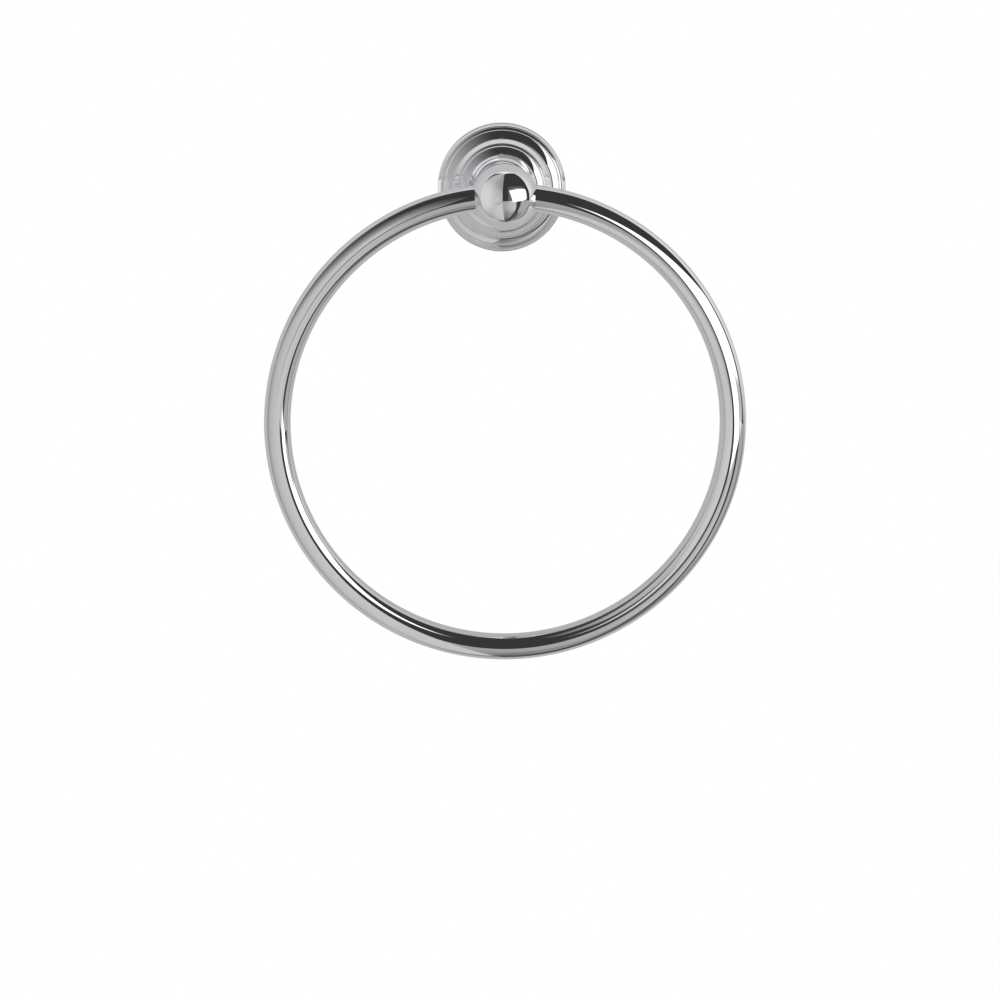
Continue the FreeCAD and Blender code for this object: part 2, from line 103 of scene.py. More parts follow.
def run_points(here, there, run, bend=0.0):
    """Points from one corner of a profile towards the next.

    A line takes even shares of the way. An arc is part of a circle that meets both corners. Its
    centre is level with this corner in radius ("flat here") or with the next in depth ("upright
    next"), at half the gap's square over the gap's other coordinate. Or it is a bend's radius from
    both, in front of the line between them for a hollow and behind it for a bulge.
    """
    here, there = np.array(here), np.array(there)
    share = np.linspace(0, 1, RUN_STEPS, endpoint=False)[:, None]
    if run == "line":
        return here + share * (there - here)
    gap = there - here
    if run == "flat here":
        centre = here + [0, gap @ gap / (2 * gap[1])]
    elif run == "upright next":
        centre = there - [gap @ gap / (2 * gap[0]), 0]
    else:
        aside = math.sqrt(bend**2 / (gap @ gap) - 1 / 4) * np.array([gap[1], -gap[0]])
        centre = (here + there) / 2 + (aside if run == "hollow" else -aside)
    first = np.arctan2(*(here - centre)[::-1])
    last = np.arctan2(*(there - centre)[::-1])
    swing = (last - first + np.pi) % (2 * np.pi) - np.pi
    angle = first + share * swing
    return centre + np.linalg.norm(here - centre) * np.hstack([np.cos(angle), np.sin(angle)])


def even_steps(points):
    """The same closed outline with its points one STEP apart along it."""
    closed = np.vstack([points, points[:1]])
    along = np.concatenate([[0], np.cumsum(np.linalg.norm(np.diff(closed, axis=0), axis=1))])
    wanted = np.linspace(0, along[-1], int(along[-1] / STEP), endpoint=False)
    return np.stack([np.interp(wanted, along, closed[:, axis]) for axis in (0, 1)], axis=1)


def eased(points, reach):
    """The outline with its corners broken as buffing breaks them.

    Each point becomes the mean of the outline over a length of twice the reach, and once more.
    """
    count = max(1, int(round(2 * reach / STEP)) | 1)
    half = count // 2
    for _ in range(2):
        wrapped = np.vstack([points[-half:], points, points[:half]])
        total = np.cumsum(np.vstack([np.zeros((1, 2)), wrapped]), axis=0)
        points = (total[count:] - total[:-count]) / count
    return points


def outward(points):
    """Unit normals of a closed outline: its direction turned a quarter, away from the metal."""
    direction = np.roll(points, -1, axis=0) - np.roll(points, 1, axis=0)
    radius, depth = points.T
    area = np.sum(radius * np.roll(depth, -1) - depth * np.roll(radius, -1))
    normal = np.stack([direction[:, 1], -direction[:, 0]], axis=1) * np.sign(area)
    return normal / np.linalg.norm(normal, axis=1, keepdims=True)


def crowded(points, count):
    """Which points of the outline to keep: evenly by length plus CROWDING for each radian of turn."""
    normal = outward(points)
    turning = np.linalg.norm(np.roll(normal, -1, axis=0) - normal, axis=1)
    weight = np.cumsum(STEP + CROWDING * turning)
    return np.searchsorted(weight, np.linspace(0, weight[-1], count, endpoint=False))


def skin(name, points, closed_rows):
    """A mesh over a grid of points: row by row, and each row closed round on itself.

    With closed rows, the last row joins the first. Otherwise the first and the last row are
    each one point, and the grid ends there in a fan of triangles.
    """
    rows, columns = points.shape[:2]
    index = np.arange(rows * columns).reshape(rows, columns)
    if not closed_rows:
        index[0], index[-1] = index[0, 0], index[-1, 0]
    kept = np.unique(index)
    index = np.searchsorted(kept, index)
    below = index if closed_rows else index[:-1]
    above = np.roll(index, -1, axis=0) if closed_rows else index[1:]
    quads = np.stack([below, np.roll(below, -1, 1), np.roll(above, -1, 1), above], axis=-1)
    faces = [tuple(dict.fromkeys(face)) for face in quads.reshape(-1, 4).tolist()]
    mesh = bpy.data.meshes.new(name)
    mesh.from_pydata(points.reshape(-1, 3)[kept].tolist(), [], faces)
    mesh.update()
    mesh.shade_smooth()
    piece = bpy.data.objects.new(name, mesh)
    bpy.context.scene.collection.objects.link(piece)
    return piece


def vertices(piece):
    """A piece's points, one row each."""
    spots = np.empty(len(piece.data.vertices) * 3)
    piece.data.vertices.foreach_get("co", spots)
    return spots.reshape(-1, 3)


def face_out(piece):
    """Turns the faces over if the mesh encloses less than nothing."""
    mesh = piece.data
    mesh.calc_loop_triangles()
    triangles = np.empty(len(mesh.loop_triangles) * 3, dtype=np.int32)
    mesh.loop_triangles.foreach_get("vertices", triangles)
    a, b, c = (vertices(piece)[column] for column in triangles.reshape(-1, 3).T)
    if np.sum(np.cross(a, b) * c) < 0:
        mesh.flip_normals()


def turned(name, corners, reach, rows, columns):
    """A turned piece: its outline, eased, carried round the rose's axis.

    A point at angle t is at x = radius * cos t, y = -depth and z = radius * sin t. An outline that
    starts on the axis is solid there: it is eased together with its mirror image, and half of the
    result is carried round. Returns the piece and its fine outline with its normals.
    """
    runs = zip(corners, corners[1:] + corners[:1])
    lines = [run_points(here[:2], there[:2], *here[2:]) for here, there in runs]
    solid = corners[0][0] == 0
    if solid:
        half = np.vstack(lines[:-1] + [[corners[-1][:2]]])
        lines = [half, half[-2:0:-1] * [-1, 1]]
    fine = eased(even_steps(np.vstack(lines)), reach)
    kept = fine[crowded(fine, 2 * rows if solid else rows)]
    if solid:
        kept = kept[kept[:, 0] > STEP]
        ends = [[0, kept[0, 1]], [0, kept[-1, 1]]]
        kept = np.vstack([ends[:1], kept, ends[1:]])
    radius, depth = kept.T[:, :, None]
    angle = np.linspace(0, 2 * np.pi, columns, endpoint=False)[None]
    grid = np.stack([radius * np.cos(angle), -depth + 0 * angle, radius * np.sin(angle)], axis=-1)
    piece = skin(name, grid, closed_rows=not solid)
    face_out(piece)
    return piece, (fine, outward(fine))


def bore(piece, cutters):
    """Takes each cutter's volume out of the piece, and removes the cutter."""
    for cutter in cutters:
        face_out(cutter)
        cut = piece.modifiers.new("bore", "BOOLEAN")
        cut.object = cutter
        cut.solver = "EXACT"
    graph = bpy.context.evaluated_depsgraph_get()
    bored = bpy.data.meshes.new_from_object(piece.evaluated_get(graph))
    piece.modifiers.clear()
    piece.data = bored
    for cutter in cutters:
        bpy.data.objects.remove(cutter)


def around(axis, columns):
    """Unit vectors square to an axis, at even angles round it, as one row of a grid."""
    side = np.cross(axis, [0.0, 0.0, 1.0] if abs(axis[2]) < NEARLY_UPRIGHT else [0.0, 1.0, 0.0])
    side /= np.linalg.norm(side)
    angle = np.linspace(0, 2 * np.pi, columns, endpoint=False)[None, :, None]
    return np.cos(angle) * side + np.sin(angle) * np.cross(axis, side)


def drill(middle, axis, steps):
    """A stepped drill to bore with: each step is its height along the axis, and its radius."""
    axis = np.array(axis, dtype=float)
    heights, radii = np.array(steps).T[:, :, None, None]
    grid = np.array(middle) + heights * axis + radii * around(axis, DRILL_COLUMNS)
    return skin("drill", grid, closed_rows=False)


def turned_normals(spots, surface):
    """The normals of points on a turned surface, and how far each point is off it.

    A point takes the normal of the outline's nearest point, carried round to its own angle. Points at
    one radius and depth are looked up once, to MATCH_STEP, and in parts that fit in memory.
    """
    fine, normal = surface
    radius = np.hypot(spots[:, 0], spots[:, 2])
    flat = np.stack([radius, -spots[:, 1]], axis=1)
    rings, which = np.unique(np.round(flat / MATCH_STEP), axis=0, return_inverse=True)
    rings *= MATCH_STEP
    nearest = np.concatenate([
        np.argmin(np.sum((part[:, None] - fine[None]) ** 2, axis=2), axis=1)
        for part in np.array_split(rings, len(rings) // MATCH_PART + 1)
    ])
    miss = np.linalg.norm(rings - fine[nearest], axis=1)[which.ravel()]
    across, deep = normal[nearest][which.ravel()].T
    unit = spots[:, [0, 2]] / np.maximum(radius, MATCH_STEP)[:, None]
    return np.stack([across * unit[:, 0], -deep, across * unit[:, 1]], axis=1), miss


def shade_by(piece, exact, miss):
    """Shades the faces that lie on the exact surface by its normals, and the others by their own."""
    mesh = piece.data
    corner_vertex = np.empty(len(mesh.loops), dtype=np.int32)
    mesh.loops.foreach_get("vertex_index", corner_vertex)
    face_normal = np.empty(len(mesh.polygons) * 3)
    mesh.polygons.foreach_get("normal", face_normal)
    face_size = np.empty(len(mesh.polygons), dtype=np.int32)
    mesh.polygons.foreach_get("loop_total", face_size)
    of_face = np.repeat(face_normal.reshape(-1, 3), face_size, axis=0)
    given = exact[corner_vertex]
    on_surface = (miss[corner_vertex] < STEP) & (np.sum(given * of_face, axis=1) > FACING_SHARE)
    face_id = np.repeat(np.arange(len(mesh.polygons)), face_size)
    whole = np.bincount(face_id, on_surface) == face_size
    given[~whole[face_id]] = 0
    mesh.set_sharp_from_angle(angle=SHARP_FROM)
    mesh.normals_split_custom_set(given.tolist())


def shade_turned(piece, surface):
    """Shades a turned piece by the surface that its fine outline gives."""
    shade_by(piece, *turned_normals(vertices(piece), surface))


class Socket:
    """An output of a node tree in an expression. Each operator adds its Math node."""

    def __init__(self, nodes, link):
        self.nodes = nodes
        self.link = link

    def math(self, operation, first, second=0.0):
        """The result of a Math node's operation on two values."""
        return self.nodes.add("Math", {"operation": operation}, {0: first, 1: second})

    def __add__(self, other):
        return self.math("ADD", self, other)

    def __radd__(self, other):
        return self.math("ADD", other, self)

    def __sub__(self, other):
        return self.math("SUBTRACT", self, other)

    def __rsub__(self, other):
        return self.math("SUBTRACT", other, self)

    def __mul__(self, other):
        return self.math("MULTIPLY", self, other)

    def __rmul__(self, other):
        return self.math("MULTIPLY", other, self)

    def __truediv__(self, other):
        return self.math("DIVIDE", self, other)

    def rise(self, start, stop):
        """0 below start, 1 above stop and a smooth rise between them."""
        settings = {"interpolation_type": "SMOOTHSTEP"}
        values = {"Value": self, "From Min": start, "From Max": stop}
        return self.nodes.add("MapRange", settings, values)

    def fall(self, start, stop):
        """1 below start, 0 above stop and a smooth fall between them."""
        return 1.0 - self.rise(start, stop)

    def size(self):
        """The value without its sign."""
        return self.math("ABSOLUTE", self)

    def root(self):
        """The value's square root."""
        return self.math("SQRT", self)

    def at_least(self, other):
        """The larger of this value and the other."""
        return self.math("MAXIMUM", self, other)


class Nodes:
    """One node tree, and the method that every node in it comes from."""

    def __init__(self, tree):
        self.tree = tree
        self.links = tree.links

    def add(self, kind, settings=None, values=None, output=0):
        """A node of a kind, with its settings set first, then its inputs.

        Returns one of its outputs, or the node itself where it has none.
        """
        node = self.tree.nodes.new("ShaderNode" + kind)
        for key, setting in (settings or {}).items():
            setattr(node, key, setting)
        for key, given in (values or {}).items():
            if isinstance(given, Socket):
                self.links.new(given.link, node.inputs[key])
            else:
                node.inputs[key].default_value = given
        return Socket(self, node.outputs[output]) if len(node.outputs) else node


rose_profile = [
    (rose_radius, 0.0, "line"),
    (rose_radius, skirt_depth, "line"),
    (rim_inner, skirt_depth, "bulge", outer_step_bend),
    (outer_lip, outer_lip_depth, "line"),
    (outer_cove, outer_lip_depth, "hollow", outer_cove_bend),
    (middle_outer, middle_depth, "line"),
    (middle_inner, middle_depth, "bulge", inner_step_bend),
    (inner_lip, inner_lip_depth, "line"),
    (inner_cove, inner_lip_depth, "hollow", inner_cove_bend),
    (crown_outer, crown_depth, "line"),
    (collar_radius + seat_fit, crown_depth, "line"),
    (collar_radius + seat_fit, collar_seat_depth, "line"),
    (screw_clearance, collar_seat_depth, "line"),
    (screw_clearance, well_depth, "line"),
    (well_radius, well_depth, "line"),
    (well_radius, cavity_depth, "line"),
    (cavity_radius, cavity_depth, "line"),
    (cavity_radius, 0.0, "line"),
]
wall_rose, rose_surface = turned("wall_rose_plated", rose_profile, rose_buffing, rose_rows, rose_columns)
drill_reach = 2 * skirt_depth
drill_steps = [(0, 0), (0, grub_hole_radius), (drill_reach, grub_hole_radius), (drill_reach, 0)]
bore(wall_rose, [drill((0, -grub_depth, -cavity_radius + skirt_depth / 2), (0, 0, -1), drill_steps)])
shade_turned(wall_rose, rose_surface)


# Neck: turned brass, chrome plated. Its collar is let into the crown, and from there it is gently
# waisted up to the ball. It is bored through for the clamp screw.
collar_width = 1.3 * MM
collar_proud = 0.25 * MM
neck_foot = collar_radius - collar_width
neck_round = 0.3 * MM
collar_face = crown_depth + collar_proud
ball_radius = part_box("ball")[1].z
ball_standoff = 47.0 * MM
ball_overhang = 3.65 * MM
neck_end = ball_radius - ball_overhang
seam_depth = ball_standoff - math.sqrt(ball_radius**2 - neck_end**2)
neck_buffing = 0.05 * MM
neck_rows, neck_columns = 200, 256

neck_profile = [
    (screw_clearance, collar_seat_depth, "line"),
    (collar_radius, collar_seat_depth, "line"),
    (collar_radius, collar_face, "line"),
    (neck_foot + neck_round, collar_face, "flat here"),
    (neck_foot, collar_face + neck_round, "upright next"),
    (neck_end, seam_depth, "line"),
    (screw_clearance, seam_depth, "line"),
]
neck, neck_surface = turned("neck_plated", neck_profile, neck_buffing, neck_rows, neck_columns)
shade_turned(neck, neck_surface)


# Ball: turned brass, chrome plated, faced off and tapped where the neck meets it. Each side is bored
# for one end of the ring: a seat for the rod and a narrower hole for its spigot.
tapped_radius = 2.55 * MM
tapped_depth = ball_standoff - 0.6 * MM
ring_radius = 86.0 * MM
rod_radius = 5.0 * MM
rod_seat = 1.45 * MM
spigot_radius = 3.0 * MM
spigot_web = 1.2 * MM
spigot_tip = tapped_radius + spigot_web
shoulder_x = math.sqrt(ball_radius**2 - rod_radius**2) - rod_seat
shoulder_z = math.sqrt(ring_radius**2 - shoulder_x**2) - ring_radius
shoulder_angle = math.asin(shoulder_x / ring_radius)
spigot_length = (shoulder_x - spigot_tip) / math.cos(shoulder_angle)
lock_radius = 1.5 * MM
lock_x = (shoulder_x + spigot_tip) / 2
lock_z = shoulder_z + spigot_length / 2 * math.sin(shoulder_angle)
ball_buffing = 0.03 * MM
ball_rows, ball_columns = 240, 192

ball_profile = [
    (0.0, ball_standoff + ball_radius, "flat here"),
    (neck_end, seam_depth, "line"),
    (tapped_radius, seam_depth, "line"),
    (tapped_radius, tapped_depth, "line"),
    (0.0, tapped_depth, "line"),
]
ball, ball_surface = turned("ball_plated", ball_profile, ball_buffing, ball_rows, ball_columns)

seat = rod_radius + seat_fit
narrow = spigot_radius + seat_fit
narrow_end = -spigot_length - seat_fit
rod_steps = [(narrow_end, 0), (narrow_end, narrow), (0, narrow)]
rod_steps += [(0, seat), (ball_radius, seat), (ball_radius, 0)]
lock_reach = ball_standoff - seam_depth
lock_hole = lock_radius + seat_fit
lock_steps = [(0, 0), (0, lock_hole), (lock_reach, lock_hole), (lock_reach, 0)]
for side in (-1, 1):
    shoulder = (side * shoulder_x, -ball_standoff, shoulder_z)
    outwards = (side * math.cos(shoulder_angle), 0, -math.sin(shoulder_angle))
    bore(ball, [
        drill(shoulder, outwards, rod_steps),
        drill((side * lock_x, -seam_depth + MM, lock_z), (0, -1, 0), lock_steps),
    ])
shade_turned(ball, ball_surface)


# Ring: one brass rod, bent round to its own start and chrome plated. Both ends are turned down to
# spigots, and go into the ball.
shoulder_edge = 0.15 * MM
hoop_rows, hoop_columns = 640, 72
hoop_start = shoulder_angle + shoulder_edge / ring_radius
hoop_angles = np.linspace(hoop_start, 2 * math.pi - hoop_start, hoop_rows)
end_steps = np.array([
    (-spigot_length, 0),
    (-spigot_length, spigot_radius - shoulder_edge),
    (-spigot_length + shoulder_edge, spigot_radius),
    (0, spigot_radius),
    (0, rod_radius - shoulder_edge),
])
first_angle = np.full(len(end_steps), shoulder_angle)
row_angle = np.concatenate([first_angle, hoop_angles, 2 * math.pi - first_angle])[:, None, None]
row_along = np.concatenate([end_steps[:, 0], 0 * hoop_angles, -end_steps[::-1, 0]])[:, None, None]
row_radius = np.concatenate([end_steps[:, 1], rod_radius + 0 * hoop_angles, end_steps[::-1, 1]])
section = np.linspace(0, 2 * np.pi, hoop_columns, endpoint=False)[None, :, None]


def hoop_direction(angle):
    """Outward unit vector of the ring's circle at an angle from its top, towards the right."""
    return np.concatenate([np.sin(angle), 0 * angle, np.cos(angle)], axis=-1)


# A point of the rod is on the ring's circle, moved along it and out by the rod's radius: by the
# cosine of its angle round the rod away from the ring's centre, and by the sine away from the wall.
out = hoop_direction(row_angle)
ahead = hoop_direction(row_angle + np.pi / 2)
ring_centre = np.array([0, -ball_standoff, -ring_radius])
off_line = np.cos(section) * out + np.sin(section) * np.array([0, -1, 0])
ring_grid = ring_centre + ring_radius * out + row_along * ahead + row_radius[:, None, None] * off_line
ring = skin("ring_plated", ring_grid, closed_rows=False)
face_out(ring)
ring_spots = vertices(ring) - ring_centre
on_circle = hoop_direction(np.arctan2(ring_spots[:, :1], ring_spots[:, 2:])) * ring_radius
from_line = ring_spots - on_circle
from_length = np.linalg.norm(from_line, axis=1)
shade_by(ring, from_line / from_length[:, None], np.abs(from_length - rod_radius))


# Chrome: bright nickel under a thin chromium layer, buffed to a mirror. All that varies is a faint
# haze where it was wiped, and a ripple far too shallow to see except in a reflection.
chrome_colour = (0.86, 0.868, 0.885, 1.0)
chrome_haze = (0.83, 0.838, 0.857, 1.0)
chrome_haze_scale = 38.0
chrome_roughness = (0.02, 0.045)
chrome_ripple_scale = 160.0
ripple_height = 0.004 * MM
ripple_strength = 0.2
haze_fade = (0.5, 0.75)
haze_detail, haze_grain = 4.0, 0.6
ripple_detail = 1.0


def plated(name, colour, hazy_colour, roughness, haze_scale, ripple_scale):
    """A plated finish. Both its haze and its ripple are noise on the piece's own coordinates.

    The roughness is a pair: where it is clear, and where it is hazy. A Mix node takes its colours at
    inputs 6 and 7, and gives theirs at output 2.
    """
    material = bpy.data.materials.new(name)
    material.use_nodes = True
    material.node_tree.nodes.clear()
    nodes = Nodes(material.node_tree)
    place = nodes.add("TexCoord", output="Object")
    cloud = nodes.add("TexNoise", {}, {
        "Vector": place, "Scale": haze_scale, "Detail": haze_detail, "Roughness": haze_grain})
    haze = cloud.rise(*haze_fade)
    tint = nodes.add("Mix", {"data_type": "RGBA"}, {0: haze, 6: colour, 7: hazy_colour}, output=2)
    ripple = nodes.add("TexNoise", {}, {"Vector": place, "Scale": ripple_scale, "Detail": ripple_detail})
    bump = nodes.add("Bump", {}, {"Strength": ripple_strength, "Distance": ripple_height, "Height": ripple})
    surface = nodes.add("BsdfPrincipled", {}, {
        "Base Color": tint,
        "Metallic": 1.0,
        "Roughness": roughness[0] + (roughness[1] - roughness[0]) * haze,
        "Normal": bump,
    })
    nodes.add("OutputMaterial", {}, {"Surface": surface})
    return material


chrome = plated("polished_chrome_plate", chrome_colour, chrome_haze, chrome_roughness,
                chrome_haze_scale, chrome_ripple_scale)
for piece, node in ((wall_rose, "wall_rose"), (neck, "neck"), (ball, "ball"), (ring, "ring")):
    piece.data.materials.clear()
    piece.data.materials.append(chrome)
    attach(piece, "root")
    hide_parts(node)


# Screws: steel, each with a rolled thread and with a hexagon socket in the end that is turned. One
# function makes them all, from the socket's end to the tip.
steel_colour = (0.50, 0.51, 0.53, 1.0)
steel_haze = (0.42, 0.43, 0.45, 1.0)
steel_roughness = (0.24, 0.38)
steel_haze_scale, steel_ripple_scale = 90.0, 300.0
steel = plated("screw_steel", steel_colour, steel_haze, steel_roughness, steel_haze_scale, steel_ripple_scale)
screw_edge = 0.2 * MM
socket_depth = 1.8 * MM
thread_share = 0.55
rows_a_turn = 9
screw_columns = 72
screw_sharp_from, washer_sharp_from = math.radians(40), math.radians(30)


def steel_piece(piece, node, sharp_from):
    """Finishes a steel piece, which takes the place of a CAD node."""
    face_out(piece)
    piece.data.set_sharp_from_angle(angle=sharp_from)
    piece.data.materials.append(steel)
    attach(piece, "root")
    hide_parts(node)


def screw(node, start, axis, length, thread, half_flats, head, tip):
    """A screw along its axis from its socket's end, as a grid with a row for each height.

    The thread is its radius and pitch, and the head and the tip are each a radius and a height. In
    the socket a point is further out, by one over the cosine of its angle from the nearest flat's
    middle. In the thread it is nearer the axis by up to the cut: by the share |2 f - 1|, where f is
    the fraction in height / pitch - angle / turn. The cut runs out at both ends.
    """
    thread_radius, pitch = thread
    head_radius, head_height = head
    tip_radius, tip_height = tip
    under = max(head_height, 2 * screw_edge)
    thread_end = length - tip_height
    heights = np.arange(under, thread_end, pitch / rows_a_turn)
    cut = thread_share * pitch * np.clip(np.minimum(heights - under, thread_end - heights) / pitch, 0, 1)
    rows = [(socket_depth, 0, 0, 0), (socket_depth, half_flats, 1, 0), (0, half_flats, 1, 0)]
    rows += [(0, head_radius - screw_edge, 0, 0), (screw_edge, head_radius, 0, 0), (under, head_radius, 0, 0)]
    rows += [(height, thread_radius, 0, deep) for height, deep in zip(heights, cut)]
    rows += [(thread_end, thread_radius, 0, 0), (length, tip_radius, 0, 0), (length, 0, 0, 0)]
    height, radius, hexagon, deep = np.array(rows).T[:, :, None]
    angle = np.linspace(0, 2 * np.pi, screw_columns, endpoint=False)[None]
    off_flat = (angle + np.pi / 6) % (np.pi / 3) - np.pi / 6
    turn = (height / pitch - angle / (2 * np.pi)) % 1
    reach = radius * (1 + hexagon * (1 / np.cos(off_flat) - 1)) - deep * np.abs(2 * turn - 1)
    axis = np.array(axis, dtype=float)
    grid = np.array(start) + height[:, :, None] * axis + reach[:, :, None] * around(axis, screw_columns)
    steel_piece(skin(node + "_threaded", grid, closed_rows=False), node, screw_sharp_from)


# Clamp screw: a steel cap screw. It runs from inside the rose through the neck into the ball, and holds
# the three together.
clamp_low, clamp_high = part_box("clamp_screw")
clamp_radius, clamp_pitch = 2.5 * MM, 0.8 * MM
clamp_half_flats = 2.0 * MM
clamp_head_height = 3.2 * MM
clamp_taper, clamp_tip_height = 0.4 * MM, 0.5 * MM
screw("clamp_screw", (0, clamp_high.y, 0), (0, -1, 0), clamp_high.y - clamp_low.y,
      (clamp_radius, clamp_pitch), clamp_half_flats, (clamp_high.x, clamp_head_height),
      (clamp_radius - clamp_taper, clamp_tip_height))


# Spring washer: a split ring of spring steel, pressed flat under the clamp screw's head, which it keeps
# from working loose. Its slot is uppermost.
washer_low, washer_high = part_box("spring_washer")
washer_edge = 0.1 * MM
washer_half_gap = 0.5 * MM
washer_steps = 97
in_wall, in_far, out_far, out_wall = (
    screw_clearance, screw_clearance + washer_edge, washer_high.x - washer_edge, washer_high.x)
washer_section = np.array([
    (in_wall, washer_low.y + washer_edge), (in_wall, washer_high.y - washer_edge),
    (in_far, washer_high.y), (out_far, washer_high.y),
    (out_wall, washer_high.y - washer_edge), (out_wall, washer_low.y + washer_edge),
    (out_far, washer_low.y), (in_far, washer_low.y),
])
washer_middle = np.tile(washer_section.mean(axis=0), (len(washer_section), 1))


def washer_row(section, share):
    """The section's points at a share of the way round, with both ends parallel to the slot."""
    radius, y = section.T
    end = np.arcsin(washer_half_gap / radius)
    angle = end + share * (2 * np.pi - 2 * end)
    return np.stack([radius * np.sin(angle), y, radius * np.cos(angle)], axis=1)


washer_grid = [washer_row(washer_middle, 0)]
washer_grid += [washer_row(washer_section, share) for share in np.linspace(0, 1, washer_steps)]
washer_grid += [washer_row(washer_middle, 1)]
washer = skin("spring_washer_split", np.array(washer_grid), closed_rows=False)
steel_piece(washer, "spring_washer", washer_sharp_from)


# Lock screws: two set screws. Each goes in through the ball's back beside the neck, and its end bears
# on one of the ring's spigots.
lock_pitch = 0.5 * MM
lock_half_flats = 0.75 * MM
lock_taper, lock_tip_height = 0.3 * MM, 0.4 * MM
for node in ("ring_lock_screw_left", "ring_lock_screw_right"):
    lock_low, lock_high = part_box(node)
    lock_start = ((lock_low.x + lock_high.x) / 2, lock_high.y, (lock_low.z + lock_high.z) / 2)
    screw(node, lock_start, (0, -1, 0), lock_high.y - lock_low.y, (lock_radius, lock_pitch),
          lock_half_flats, (lock_radius, 0), (lock_radius - lock_taper, lock_tip_height))


# Grub screw: in the underside of the rose's skirt. Its point bears on the bracket's edge, which leans
# back, and so it pulls the rose against the wall.
grub_low, grub_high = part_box("rose_grub_screw")
grub_radius, grub_pitch = grub_high.x, 0.7 * MM
grub_half_flats = 1.0 * MM
grub_point_radius = 0.9 * MM
screw("rose_grub_screw", (0, -grub_depth, grub_low.z), (0, 0, 1), grub_high.z - grub_low.z,
      (grub_radius, grub_pitch), grub_half_flats, (grub_radius, 0),
      (grub_point_radius, grub_radius - grub_point_radius))


# Wall bracket: a cast disc, zinc plated and dull. Two screws hold it to the wall, inside the rose. Its
# CAD mesh shows it as it is.
zinc_colour = (0.62, 0.63, 0.66, 1.0)
zinc_haze = (0.50, 0.51, 0.53, 1.0)
zinc_roughness = (0.32, 0.48)
zinc_haze_scale, zinc_ripple_scale = 60.0, 240.0
zinc = plated("zinc_plate", zinc_colour, zinc_haze, zinc_roughness, zinc_haze_scale, zinc_ripple_scale)
bracket = bpy.data.objects["wall_bracket"]
bracket.data.materials.clear()
bracket.data.materials.append(zinc)


# Studio: the fitting hangs before a pale wall board and above a pale floor. A tall screen stands close by
# on its left, a soft window on its right, and the room in front is dark. Strengths are radiances, of
# which 1 is white. A fade is the two places between which a light comes in or goes out, in metres, or in
# radians for a bearing.
class Spot:
    """The point that is shaded: its x, y and z, and its bearing from the ball, right of front."""

    def __init__(self, nodes):
        place = nodes.add("NewGeometry", output="Position")
        self.x, self.y, self.z = (nodes.add("SeparateXYZ", {}, {0: place}, output=axis) for axis in range(3))
        self.bearing = self.x.math("ARCTAN2", self.x, -1.0 * self.y - ball_standoff)


def board(name, grid, light_of, paint=None):
    """A glowing surface over a grid of points. light_of takes a Spot and gives the strength there.

    Only reflections show it, unless it has a paint: then the camera sees that colour.
    """
    grid = np.array(grid, dtype=float)
    rows, columns = grid.shape[:2]
    index = np.arange(rows * columns).reshape(rows, columns)
    faces = np.stack([index[:-1, :-1], index[:-1, 1:], index[1:, 1:], index[1:, :-1]], axis=-1)
    mesh = bpy.data.meshes.new(name)
    mesh.from_pydata(grid.reshape(-1, 3).tolist(), [], faces.reshape(-1, 4).tolist())
    material = bpy.data.materials.new(name)
    material.use_nodes = True
    material.node_tree.nodes.clear()
    nodes = Nodes(material.node_tree)
    surface = nodes.add("Emission", {}, {"Color": light_of(Spot(nodes))})
    if paint:
        painted = nodes.add("BsdfDiffuse", {}, {"Color": paint})
        seen = nodes.add("LightPath", output="Is Camera Ray")
        surface = nodes.add("MixShader", {}, {0: seen, 1: surface, 2: painted})
    nodes.add("OutputMaterial", {}, {"Surface": surface})
    mesh.materials.append(material)
    made = bpy.data.objects.new(name, mesh)
    bpy.context.scene.collection.objects.link(made)
    made.visible_camera = made.visible_diffuse = made.visible_shadow = bool(paint)


def lamp(name, size, placement, light_of, lit):
    """A soft lamp that only the lit pieces see. light_of takes a Spot and gives the strength there.

    The power is pi times the area, which makes a strength of 1 white.
    """
    light = bpy.data.lights.new(name, "AREA")
    light.shape = "RECTANGLE"
    light.size, light.size_y = size
    light.energy = math.pi * size[0] * size[1]
    light.use_nodes = True
    light.node_tree.nodes.clear()
    nodes = Nodes(light.node_tree)
    nodes.add("OutputLight", {}, {"Surface": nodes.add("Emission", {}, {"Color": light_of(Spot(nodes))})})
    made = bpy.data.objects.new(name, light)
    bpy.context.scene.collection.objects.link(made)
    made.matrix_world = placement
    made.visible_camera = False
    lit_group = bpy.data.collections.new(name + "_lit")
    for piece in lit:
        lit_group.objects.link(piece)
    made.light_linking.receiver_collection = lit_group
    return light


def upright(near, far, low, high):
    """The size and placement of an upright lamp that faces the fitting, from its two feet in plan."""
    near, far = np.array(near), np.array(far)
    width = float(np.linalg.norm(far - near))
    middle = (near + far) / 2
    across = (far - near) / width
    facing = np.array([-across[1], across[0]])
    if facing @ (np.array([0, -ball_standoff]) - middle) < 0:
        across, facing = -across, -facing
    placement = Matrix((
        (across[0], 0, -facing[0], middle[0]),
        (across[1], 0, -facing[1], middle[1]),
        (0, 1, 0, (low + high) / 2),
        (0, 0, 0, 1),
    ))
    return (width, high - low), placement


# Dark room: a sphere round everything. It is dark on the camera's side and white on the wall's side.
room_radius = 9.0
room_dark = 0.042
room_white = 1.0
room_turn, room_blur = math.radians(112), 0.05
room_fade = (room_turn, room_turn + room_blur)
room_rows, room_columns = 37, 73
room_up = np.radians(np.linspace(-90, 90, room_rows))[:, None]
room_round = np.radians(np.linspace(-180, 180, room_columns))[None]
room_grid = room_radius * np.stack([
    np.cos(room_up) * np.sin(room_round),
    -np.cos(room_up) * np.cos(room_round),
    np.sin(room_up) + 0 * room_round,
], axis=-1)


